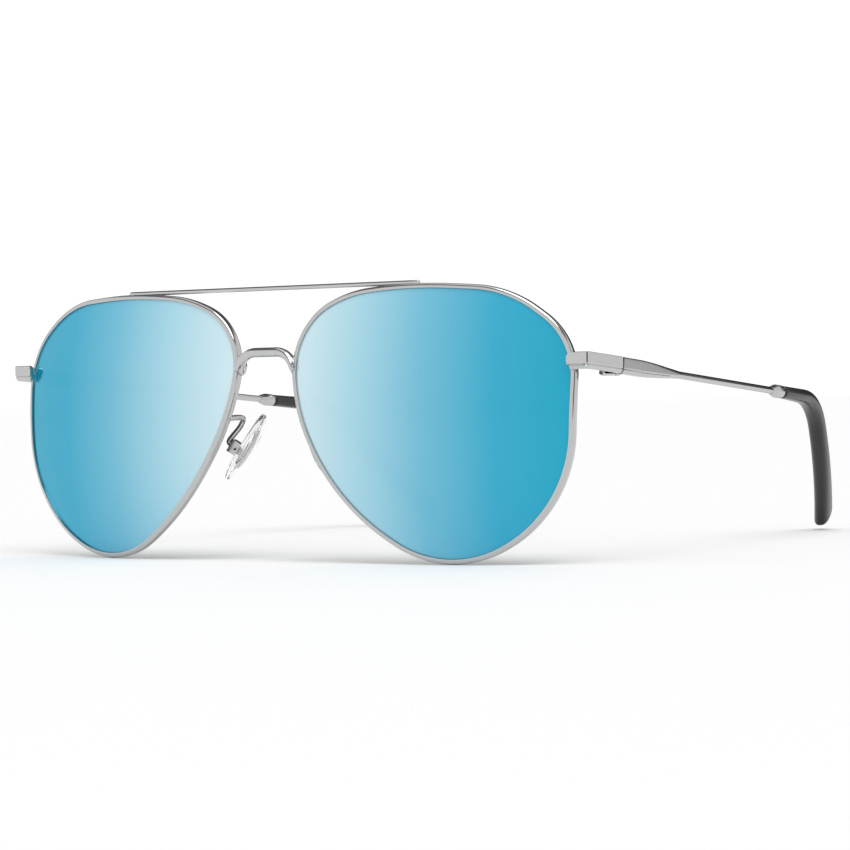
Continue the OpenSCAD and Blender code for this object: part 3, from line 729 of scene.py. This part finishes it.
def tip_ring(s, n=40):
    """The section a length s along the tip."""
    a = min(max((s - TIP_STRAIGHT) / TIP_BEND_R, 0), TIP_BEND)
    past = max(0, s - TIP_STRAIGHT - TIP_BEND_R * TIP_BEND)
    back_y = min(s, TIP_STRAIGHT) + TIP_BEND_R * math.sin(a) + past * math.cos(a)
    up = -TIP_BEND_R * (1 - math.cos(a)) - past * math.sin(a)
    inward = -TIP_IN * (max(0, s) / TIP_LEN) ** 1.7
    end = max(0.02, 1 - max(0, 1 - (TIP_LEN - s) / 2.0) ** 2.6) ** 0.45
    start = math.sqrt(max(0.3, 1 - max(0, 1 - s / 0.5) ** 2))
    t = TIP_T / 2 * end * start * min(1, 0.86 + 0.14 * s / 12)
    h = (TIP_H0 + (TIP_H1 - TIP_H0) * (s / TIP_LEN) ** 1.6) / 2 * end * start
    ring = []
    for k in range(n):
        c, v = math.cos(2 * math.pi * k / n), -math.sin(2 * math.pi * k / n)
        c, v = math.copysign(abs(c) ** 0.8, c) * t, math.copysign(abs(v) ** 0.8, v) * h
        ring.append((inward + c, TIP_START + back_y + v * math.sin(a), up + v * math.cos(a)))
    return ring


lengths = [0.02, 0.12, 0.25, 0.5] + list(np.linspace(1, TIP_LEN - 2.1, 70))
lengths += [TIP_LEN - 2.0 * (1 - math.sin(math.radians(6 * k))) for k in range(15)] + [TIP_LEN]
for word, side in SIDES.items():
    tip = make(f"temple_tip_{word}_cover", *tube([tip_ring(s) for s in lengths]), f"temple_{word}_body",
               "tip_plastic", [f"temple_tip_{word}"], side, AT_TEMPLE, 60)
    print(tip.name, len(tip.data.polygons), "faces")

# %% [markdown]
# ## Nose pads
# A pad is a clear oval cushion of silicone, flat behind and domed in front, held on a metal plate that
# shows through it. `AT_PAD` carries the pad's own frame, X towards the nose and Z up along the pad.

# %% Nose pads
PAD_PIVOT, PAD_SPLAY, PAD_LEAN = Vector((11.5, 7.7, -4.6)), math.radians(21), math.radians(32)
PAD_LEN, PAD_W, PAD_T, PAD_BACK, PAD_UP, PAD_DOME = 15.0, 6.8, 1.8, 1.0, 1.2, 30.0
AT_PAD = (Matrix.Translation(PAD_PIVOT) @ Matrix.Rotation(math.pi - PAD_SPLAY, 4, "Z")
          @ Matrix.Rotation(PAD_LEAN, 4, "Y"))
PAD_RINGS = [(0.3, 0), (0.6, 0), (0.85, 0), (0.95, 0.05), (0.99, 0.18), (1.0, 0.5), (0.99, 0.82),
             (0.95, 0.96), (0.88, 1), (0.75, 1), (0.6, 1), (0.45, 1), (0.3, 1), (0.15, 1), (0.05, 1)]


def pad_ring(t, through, n=64):
    """A ring of the pad: t is its size, and through runs from the flat back to the dome."""
    ring = []
    for k in range(n):
        a = 2 * math.pi * k / n
        wide, tall = (math.copysign(abs(f(a)) ** 0.86, f(a)) for f in (math.cos, math.sin))
        y, z = PAD_W / 2 * wide * (1 - 0.12 * math.sin(a)) * t, PAD_LEN / 2 * tall * t
        dome = PAD_T - PAD_DOME + math.sqrt(PAD_DOME**2 - y * y - z * z)
        ring.append((PAD_BACK + dome * through, y, PAD_UP + z))
    return ring


for word, side in SIDES.items():
    pad = make(f"nose_pad_{word}_silicone", *tube([pad_ring(*r) for r in PAD_RINGS]), f"nose_pad_{word}_body",
               "pad_silicone", [f"nose_pad_{word}"], side, AT_PAD, 60)
    print(pad.name, len(pad.data.polygons), "faces")

# %% [markdown]
# ## Pad arms
# Each pad hangs on a thin wire arm, brazed to the rim and bent back and down in a small loop. A smooth
# curve through seven points gives the bends, and a bead of braze covers its root.

# %% Pad arms
ARM_R = 0.55
root = np.array(on_front(-26.2 - 0.6, 1.2, 0.4))
reach = np.array(PAD_PIVOT) + np.array((math.cos(PAD_SPLAY) * math.cos(PAD_LEAN),
                                        -math.sin(PAD_SPLAY) * math.cos(PAD_LEAN), 0.45))
px, py = PAD_PIVOT.x, PAD_PIVOT.y
ARM = [root, (px - 2.2, py - 2.6, 1.5), (px - 2.2, py - 0.6, 1.2), (px - 1.1, py - 0.2, -0.4),
       (px + 0.4, py - 0.7, -2.2), reach + np.array((0.55, -0.3, 0.9)), reach + np.array((0.2, -0.12, 0.25))]


def wire_rings(points, radius, side_way, n=18):
    """Round sections square to a path."""
    rings = []
    for i, p in enumerate(points):
        along = unit(points[min(i + 1, len(points) - 1)] - points[max(i - 1, 0)])
        a = unit(np.cross(side_way, along))
        b = np.cross(along, a)
        turns = [2 * math.pi * k / n for k in range(n)]
        rings.append([tuple(p + radius * (math.cos(t) * a + math.sin(t) * b)) for t in turns])
    return rings


for word, side in SIDES.items():
    rings = wire_rings(smooth(ARM, 10), ARM_R, np.array((0.9, 0.3, 0.35)))
    make(f"pad_arm_{word}_wire", *tube(rings), "front", "pad_metal", [f"pad_arm_{word}"], side, sharp=60)
    bead = pebble(tuple(root + np.array((-0.45, 0.25, 0.1))), (0.75, 0.7, 0.95))
    make(f"pad_arm_{word}_braze", *bead, "front", "pad_metal", [f"pad_arm_{word}"], side, sharp=60)
print("arms", len(smooth(ARM, 10)), "rings")

# %% [markdown]
# ## Small fittings
# The hinges, the rim locks, the pad boxes and the plates in the pads already have the right shape in
# CAD, but their edges are knife sharp. A copy of each is merged, its flat faces are cleaned, and a small
# bevel is cut on every edge, so that the edges catch the light.

# %% Fittings with softened edges
def softened(node, new_name, body, slot, width):
    """A merged copy of a CAD node with small bevels, standing for it."""
    mesh = frame["nodes"][node].data.copy()
    mesh.name = new_name
    shape = bmesh.new()
    shape.from_mesh(mesh)
    bmesh.ops.remove_doubles(shape, verts=shape.verts, dist=2e-6)
    bmesh.ops.dissolve_limit(shape, angle_limit=math.radians(1.5), verts=shape.verts, edges=shape.edges)
    shape.to_mesh(mesh)
    shape.free()
    mesh.shade_smooth()
    mesh.set_sharp_from_angle(angle=math.radians(30))
    piece = bpy.data.objects.new(new_name, mesh)
    bevel = piece.modifiers.new("soft edges", "BEVEL")
    bevel.width = width * MM
    bevel.segments = 2
    bevel.limit_method = "ANGLE"
    bevel.angle_limit = math.radians(35)
    bevel.harden_normals = False
    return settle(piece, body, slot, [node])


for word in SIDES:
    for node, body, slot, width in ((f"temple_hinge_{word}", f"temple_{word}_body", "temple_metal", 0.10),
                                    (f"lock_upper_{word}", "front", "frame_metal", 0.12),
                                    (f"lock_lower_{word}", "front", "frame_metal", 0.12),
                                    (f"pad_box_{word}", "front", "pad_metal", 0.10),
                                    (f"pad_insert_{word}", f"nose_pad_{word}_body", "pad_metal", 0.06)):
        piece = softened(node, f"{node}_soft", body, slot, width)
print("softened fittings", 5 * len(SIDES))

# %% [markdown]
# ## Front hinges
# The front half of a hinge is a short block soldered inside the end piece, with two knuckles at its back
# that take the temple's knuckle between them. The block is a rounded bar with a domed front, and each
# knuckle is a turned ring with a small chamfer at both ends, bored for the pin.

# %% Front hinges
HINGE_TOP, HINGE_LOW = HINGE.z + 1.6, HINGE.z - 1.9
KNUCKLE_R, KNUCKLE_GAP, PIN_BORE, LEAF_LEN, LEAF_IN = 1.1, 0.08, 0.55, 5.4, 0.3
KNUCKLE_H = (HINGE_TOP - HINGE_LOW - 2 * KNUCKLE_GAP) / 3


def knuckle_rings(low, n=40, chamfer=0.1):
    """A bored ring: up the outside, over the top and down the bore."""
    high = low + KNUCKLE_H
    profile = [(KNUCKLE_R - chamfer, low), (KNUCKLE_R, low + chamfer), (KNUCKLE_R, high - chamfer),
               (KNUCKLE_R - chamfer, high), (PIN_BORE + 0.05, high), (PIN_BORE, high - 0.05),
               (PIN_BORE, low + 0.05), (PIN_BORE + 0.05, low)]
    return [[(HINGE.x + r * math.cos(2 * math.pi * k / n), HINGE.y + r * math.sin(2 * math.pi * k / n), z)
             for r, z in profile] for k in range(n)]


LEAF_DOME, LEAF_ROUND = 0.9, 0.28    # length of a leaf's domed front, and its corner radius


def leaf_rings(low, high, y_back, n=32):
    """A rounded bar from its domed front back to y_back."""
    wide = END_X - END_T - 0.02 - (HINGE.x - LEAF_IN)
    x = HINGE.x - LEAF_IN + wide / 2
    rings = []
    nose = [HINGE.y - LEAF_LEN + LEAF_DOME * (1 - math.cos(math.radians(a))) for a in range(6, 91, 12)]
    for y in nose + [y_back]:
        d = min(y - (HINGE.y - LEAF_LEN), LEAF_DOME) / LEAF_DOME
        grow = math.sqrt(max(0.02, 1 - (1 - d) ** 2))
        rings.append([(x + a, y, (low + high) / 2 + b) for a, b in
                      rounded_box(wide / 2, (high - low) / 2 * grow, LEAF_ROUND, n)])
    return rings


for word, side in SIDES.items():
    for level in (0, 2):
        low = HINGE_LOW + level * (KNUCKLE_H + KNUCKLE_GAP)
        make(f"front_hinge_{word}_knuckle{level}", *tube(knuckle_rings(low), True), "front", "frame_metal",
             [f"front_hinge_{word}"], side, sharp=30)
        leaf = leaf_rings(low, low + KNUCKLE_H, HINGE.y - PIN_BORE - 0.1)
        make(f"front_hinge_{word}_leaf{level}", *tube(leaf),
             "front", "frame_metal", [f"front_hinge_{word}"], side, sharp=30)
    block = leaf_rings(HINGE_LOW, HINGE_TOP, HINGE.y - KNUCKLE_R - 0.25)
    make(f"front_hinge_{word}_block", *tube(block),
         "front", "frame_metal", [f"front_hinge_{word}"], side, sharp=30)
print("knuckles", round(KNUCKLE_H, 2), "mm high")

# %% [markdown]
# ## Screws
# Six small slotted screws hold the glasses together: two close the rims, two are the temple pins and two
# are the pad pins. The same shape repeats in three sizes, so one Geometry Nodes tree makes them all. It
# joins a head and a shank and cuts the slot, and its inputs are the sizes.

# %% A screw as a Geometry Nodes tree
SCREW_SIZES = ["Head Radius", "Head Height", "Shank Radius", "Shank Length", "Slot Width"]


def screw_tree(material):
    """Builds the tree. The head sits below Z 0 with its slot facing +Z, and the shank points down."""
    tree = bpy.data.node_groups.new("slotted_screw", "GeometryNodeTree")
    tree.interface.new_socket("Geometry", in_out="INPUT", socket_type="NodeSocketGeometry")
    for label in SCREW_SIZES:
        tree.interface.new_socket(label, in_out="INPUT", socket_type="NodeSocketFloat")
    tree.interface.new_socket("Geometry", in_out="OUTPUT", socket_type="NodeSocketGeometry")
    given, result = tree.nodes.new("NodeGroupInput"), tree.nodes.new("NodeGroupOutput")

    def half(value, times):
        node = tree.nodes.new("ShaderNodeMath")
        node.operation = "MULTIPLY"
        node.inputs[1].default_value = times
        tree.links.new(value, node.inputs[0])
        return node.outputs[0]

    def lowered(geometry, depth):
        move, place = tree.nodes.new("GeometryNodeTransform"), tree.nodes.new("ShaderNodeCombineXYZ")
        tree.links.new(depth, place.inputs["Z"])
        tree.links.new(place.outputs[0], move.inputs["Translation"])
        tree.links.new(geometry, move.inputs["Geometry"])
        return move.outputs["Geometry"]

    parts = []
    for radius, length, sides in (("Head Radius", "Head Height", 40), ("Shank Radius", "Shank Length", 24)):
        round_bar = tree.nodes.new("GeometryNodeMeshCylinder")
        round_bar.inputs["Vertices"].default_value = sides
        tree.links.new(given.outputs[radius], round_bar.inputs["Radius"])
        tree.links.new(given.outputs[length], round_bar.inputs["Depth"])
        parts.append(lowered(round_bar.outputs["Mesh"], half(given.outputs[length], -0.5)))
    slot_box, size = tree.nodes.new("GeometryNodeMeshCube"), tree.nodes.new("ShaderNodeCombineXYZ")
    tree.links.new(given.outputs["Slot Width"], size.inputs["X"])
    tree.links.new(half(given.outputs["Head Radius"], 3), size.inputs["Y"])
    tree.links.new(given.outputs["Head Height"], size.inputs["Z"])
    tree.links.new(size.outputs[0], slot_box.inputs["Size"])
    cut, join = tree.nodes.new("GeometryNodeMeshBoolean"), tree.nodes.new("GeometryNodeMeshBoolean")
    join.operation = "UNION"
    for part in parts:
        tree.links.new(part, join.inputs["Mesh 2"])
    cut.operation = "DIFFERENCE"
    tree.links.new(join.outputs["Mesh"], cut.inputs["Mesh 1"])
    tree.links.new(slot_box.outputs["Mesh"], cut.inputs["Mesh 2"])
    real, paint = tree.nodes.new("GeometryNodeRealizeInstances"), tree.nodes.new("GeometryNodeSetMaterial")
    paint.inputs["Material"].default_value = material
    tree.links.new(cut.outputs["Mesh"], real.inputs["Geometry"])
    tree.links.new(real.outputs["Geometry"], paint.inputs["Geometry"])
    tree.links.new(paint.outputs["Geometry"], result.inputs["Geometry"])
    return tree


SCREW = screw_tree(FINISH["screw_steel"])
print("screw tree", len(SCREW.nodes), "nodes")

# %% Make and place the screws
LOCK_X, LOCK_Y = 65.4293, 8.58576
LOCK_MID = (LOCK_X + (END_X - END_T - 0.02 - LOCK_X) / 2, LOCK_Y + 1.3)
DOWN = Matrix.Rotation(math.pi, 4, "X")


def screw(name, node, body, side, own, sizes):
    """One screw of the tree's shape, in millimetres, carried to its place."""
    holder = bpy.data.objects.new(name, bpy.data.meshes.new(name))
    scene.collection.objects.link(holder)
    modifier = holder.modifiers.new("screw", "NODES")
    modifier.node_group = SCREW
    for socket in SCREW.interface.items_tree:
        if socket.in_out == "INPUT" and socket.name in sizes:
            modifier[socket.identifier] = float(sizes[socket.name])
    bpy.context.view_layer.update()
    ready = holder.evaluated_get(bpy.context.evaluated_depsgraph_get())
    mesh = bpy.data.meshes.new_from_object(ready)
    holder.modifiers.clear()
    holder.data = mesh
    mesh.transform(STAND @ Matrix.Diagonal((side, 1, 1, 1)) @ own)
    shape = bmesh.new()
    shape.from_mesh(mesh)
    bmesh.ops.remove_doubles(shape, verts=shape.verts, dist=1e-6)
    bmesh.ops.recalc_face_normals(shape, faces=shape.faces)
    shape.to_mesh(mesh)
    shape.free()
    mesh.shade_smooth()
    mesh.set_sharp_from_angle(angle=math.radians(30))
    return settle(holder, body, "screw_steel", [node])


for word, side in SIDES.items():
    pin = dict(zip(SCREW_SIZES, (0.85, 0.35, 0.5, 3.2, 0.25)))
    screw(f"hinge_screw_{word}_pin", f"hinge_screw_{word}", "front", side,
          Matrix.Translation((HINGE.x, HINGE.y, HINGE_TOP - 0.12)), pin)
    lock = dict(zip(SCREW_SIZES, (0.8, 0.28, 0.5, 2.5, 0.25)))
    screw(f"lock_screw_{word}_bolt", f"lock_screw_{word}", "front", side,
          Matrix.Translation((*LOCK_MID, END_Z - 1.5)) @ DOWN, lock)
    small = dict(zip(SCREW_SIZES, (0.6, 0.28, 0.35, 2.3, 0.2)))
    screw(f"pad_screw_{word}_pin", f"pad_screw_{word}", "front", side,
          AT_PAD @ Matrix.Translation((0, -1.2, 0)) @ Matrix.Rotation(math.pi / 2, 4, "X"), small)
print("screws", 6)

# %% [markdown]
# ## Room
# Polished metal is only as good as its room, and a studio shows it one room and the paper sweep another.
# The world here does the same. The camera sees even white, the floor is lit by a softer white and one
# broad lamp, so that it takes a shadow, and what the metal mirrors has dark flags: one high up all
# round, one behind the glasses and one at the side. Round bars show them as thin lines between bright
# ones, and the sharp bends of the flat bars turn dark where they face a flag.

# %% Floor
floor_mesh = bpy.data.meshes.new("floor")
reach_m = 6.0
floor_mesh.from_pydata([(-reach_m, -reach_m, 0), (reach_m, -reach_m, 0), (reach_m, reach_m, 0),
                        (-reach_m, reach_m, 0)], [], [(0, 1, 2, 3)])
floor = bpy.data.objects.new("floor", floor_mesh)
floor.location.z = min(0.0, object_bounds()[0][2]) - 0.0001
scene.collection.objects.link(floor)
paper, tree, shader = finish("pale_floor", (0.92, 0.92, 0.92), Roughness=0.7)
shader.inputs["Specular IOR Level"].default_value = 0.1
floor_mesh.materials.append(paper)
print("floor at", round(floor.location.z, 5))

# %% Light
SEEN_WHITE, FILL_WHITE, MIRROR_WHITE = 1.05, 0.72, 1.0
HIGH_BAND = [(0.00, 1.0), (0.58, 1.0), (0.68, 0.16), (0.80, 0.16), (0.88, 1.0)]     # by height, 0 to 1
world = bpy.data.worlds.new("room")
world.use_nodes = True
room = world.node_tree
room.nodes.clear()


def map_range(value, low, high, at_low, at_high):
    """A clamped Map Range node's output."""
    node = room.nodes.new("ShaderNodeMapRange")
    for label, number in (("From Min", low), ("From Max", high), ("To Min", at_low), ("To Max", at_high)):
        node.inputs[label].default_value = number
    room.links.new(value, node.inputs["Value"])
    return node.outputs["Result"]


way = room.nodes.new("ShaderNodeTexCoord")
split = room.nodes.new("ShaderNodeSeparateXYZ")
room.links.new(way.outputs["Generated"], split.inputs["Vector"])
bands = room.nodes.new("ShaderNodeValToRGB")
while len(bands.color_ramp.elements) < len(HIGH_BAND):
    bands.color_ramp.elements.new(0.5)
for element, (place, grey) in zip(bands.color_ramp.elements, HIGH_BAND):
    element.position = place
    element.color = (grey, grey, grey, 1)
room.links.new(split.outputs["Z"], bands.inputs["Fac"])
behind = map_range(split.outputs["Y"], 0.1, 0.5, 0.0, 1.0)
shade = map_range(split.outputs["X"], -0.2, 0.4, 0.15, 0.92)
drop = math_node(room, "MULTIPLY", behind, math_node(room, "SUBTRACT", 1.0, shade))
mirror = math_node(room, "MULTIPLY", bands.outputs["Color"], math_node(room, "SUBTRACT", MIRROR_WHITE, drop))
mirror = math_node(room, "MULTIPLY", mirror, map_range(split.outputs["Y"], 0.90, 0.93, 1.0, 0.08))
flag = math_node(room, "MULTIPLY", map_range(split.outputs["X"], 0.68, 0.76, 0.0, 1.0),
                 map_range(split.outputs["Y"], -0.34, -0.24, 1.0, 0.0))
mirror = math_node(room, "MULTIPLY", mirror, math_node(room, "SUBTRACT", 1.0, math_node(
    room, "MULTIPLY", flag, 0.92)))
ray = room.nodes.new("ShaderNodeLightPath")
seen = math_node(room, "MAXIMUM", ray.outputs["Is Camera Ray"], ray.outputs["Is Transmission Ray"])
total = math_node(room, "ADD", math_node(room, "MULTIPLY", seen, SEEN_WHITE),
                  math_node(room, "MULTIPLY", ray.outputs["Is Diffuse Ray"], FILL_WHITE))
total = math_node(room, "ADD", total, math_node(room, "MULTIPLY", ray.outputs["Is Glossy Ray"], mirror))
sky, out = room.nodes.new("ShaderNodeBackground"), room.nodes.new("ShaderNodeOutputWorld")
sky.inputs["Color"].default_value = (1, 1, 1, 1)
room.links.new(total, sky.inputs["Strength"])
room.links.new(sky.outputs["Background"], out.inputs["Surface"])
scene.world = world
scene.view_settings.view_transform = "Standard"

lamp = bpy.data.objects.new("broad_lamp", bpy.data.lights.new("broad_lamp", "SUN"))
lamp.data.energy = 1.4
lamp.data.angle = math.radians(40)
lamp.rotation_euler = Vector((0.35, -0.3, 1)).to_track_quat("Z", "Y").to_euler()
scene.collection.objects.link(lamp)
print("room: seen", SEEN_WHITE, "fill", FILL_WHITE, "lamp", lamp.data.energy)
